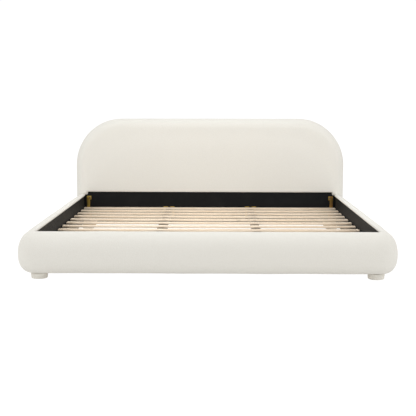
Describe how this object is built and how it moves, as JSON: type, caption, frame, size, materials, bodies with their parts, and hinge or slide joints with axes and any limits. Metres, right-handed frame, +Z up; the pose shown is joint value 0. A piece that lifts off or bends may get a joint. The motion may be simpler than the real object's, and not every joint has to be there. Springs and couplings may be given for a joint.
{
  "type": "upholstered headboard bed",
  "caption": "Platform bed frame with a rounded padded headboard, padded side and foot rails, a slatted base on side ledgers and centre beams, round corner feet.",
  "frame": {"origin": "on the floor, at the centre of the bounding box's bottom face", "axes": "+X to the right seen from the foot, +Y from the foot towards the headboard, +Z up"},
  "size_m": [2.178, 2.324, 0.871],
  "materials": {
    "cover_fabric": "cream woven upholstery cloth, matt with a short soft pile",
    "padding_foam": "upholstery foam, open cell",
    "lining_cloth": "black non-woven dust cloth",
    "board": "raw particle board",
    "slat_pine": "planed pale pine",
    "batten_pine": "sawn pine",
    "bracket_zinc": "yellow passivated zinc plate",
    "fastener_steel": "bright zinc plate",
    "beam_steel": "black powder coat",
    "glide_plastic": "black nylon",
    "foot_paint": "turned wood under matt cream paint"
  },
  "bodies": {
    "frame": {"headboard_board": "board", "headboard_battens": "batten_pine", "headboard_foam": "padding_foam", "headboard_cover": "cover_fabric", "headboard_lining": "lining_cloth", "left_rail_board": "board", "left_rail_foam": "padding_foam", "left_rail_cover": "cover_fabric", "left_rail_lining": "lining_cloth", "left_ledger": "batten_pine", "right_rail_board": "board", "right_rail_foam": "padding_foam", "right_rail_cover": "cover_fabric", "right_rail_lining": "lining_cloth", "right_ledger": "batten_pine", "footboard_board": "board", "footboard_foam": "padding_foam", "footboard_cover": "cover_fabric", "footboard_lining": "lining_cloth", "left_rear_corner_bracket": "bracket_zinc", "right_rear_corner_bracket": "bracket_zinc", "left_front_corner_bracket": "bracket_zinc", "right_front_corner_bracket": "bracket_zinc", "corner_bolts": "fastener_steel", "corner_blocks": "batten_pine", "left_rear_foot": "foot_paint", "right_rear_foot": "foot_paint", "left_front_foot": "foot_paint", "right_front_foot": "foot_paint", "foot_bolts": "fastener_steel", "left_beam": "beam_steel", "right_beam": "beam_steel", "head_beam_brackets": "bracket_zinc", "foot_beam_brackets": "bracket_zinc", "wood_screws": "fastener_steel", "left_rear_support_leg": "beam_steel", "right_rear_support_leg": "beam_steel", "left_front_support_leg": "beam_steel", "right_front_support_leg": "beam_steel", "slat_01": "slat_pine", "slat_02": "slat_pine", "slat_03": "slat_pine", "slat_04": "slat_pine", "slat_05": "slat_pine", "slat_06": "slat_pine", "slat_07": "slat_pine", "slat_08": "slat_pine", "slat_09": "slat_pine", "slat_10": "slat_pine", "slat_11": "slat_pine", "slat_12": "slat_pine"},
    "left_rear_pad": {"left_rear_glide_pad": "glide_plastic"},
    "left_rear_stud": {"left_rear_glide_stud": "fastener_steel"},
    "right_rear_pad": {"right_rear_glide_pad": "glide_plastic"},
    "right_rear_stud": {"right_rear_glide_stud": "fastener_steel"},
    "left_front_pad": {"left_front_glide_pad": "glide_plastic"},
    "left_front_stud": {"left_front_glide_stud": "fastener_steel"},
    "right_front_pad": {"right_front_glide_pad": "glide_plastic"},
    "right_front_stud": {"right_front_glide_stud": "fastener_steel"}
  },
  "joints": [
    {"name": "left_rear_glide_travel", "type": "slide", "parent": "frame", "child": "left_rear_pad", "axis": [0, 0, -1], "range_m": [0, 0.012]},
    {"name": "left_rear_glide_turn", "type": "hinge", "parent": "left_rear_pad", "child": "left_rear_stud", "pos_m": [-0.325, 0.432, 0.01], "axis": [0, 0, -1], "range_deg": [0, 2880]},
    {"name": "right_rear_glide_travel", "type": "slide", "parent": "frame", "child": "right_rear_pad", "axis": [0, 0, -1], "range_m": [0, 0.012]},
    {"name": "right_rear_glide_turn", "type": "hinge", "parent": "right_rear_pad", "child": "right_rear_stud", "pos_m": [0.325, 0.432, 0.01], "axis": [0, 0, -1], "range_deg": [0, 2880]},
    {"name": "left_front_glide_travel", "type": "slide", "parent": "frame", "child": "left_front_pad", "axis": [0, 0, -1], "range_m": [0, 0.012]},
    {"name": "left_front_glide_turn", "type": "hinge", "parent": "left_front_pad", "child": "left_front_stud", "pos_m": [-0.325, -0.468, 0.01], "axis": [0, 0, -1], "range_deg": [0, 2880]},
    {"name": "right_front_glide_travel", "type": "slide", "parent": "frame", "child": "right_front_pad", "axis": [0, 0, -1], "range_m": [0, 0.012]},
    {"name": "right_front_glide_turn", "type": "hinge", "parent": "right_front_pad", "child": "right_front_stud", "pos_m": [0.325, -0.468, 0.01], "axis": [0, 0, -1], "range_deg": [0, 2880]}
  ],
  "couplings": [
    {"joint": "left_rear_glide_turn", "follows": "left_rear_glide_travel", "rad_per_m": 4188.8},
    {"joint": "right_rear_glide_turn", "follows": "right_rear_glide_travel", "rad_per_m": 4188.8},
    {"joint": "left_front_glide_turn", "follows": "left_front_glide_travel", "rad_per_m": 4188.8},
    {"joint": "right_front_glide_turn", "follows": "right_front_glide_travel", "rad_per_m": 4188.8}
  ]
}
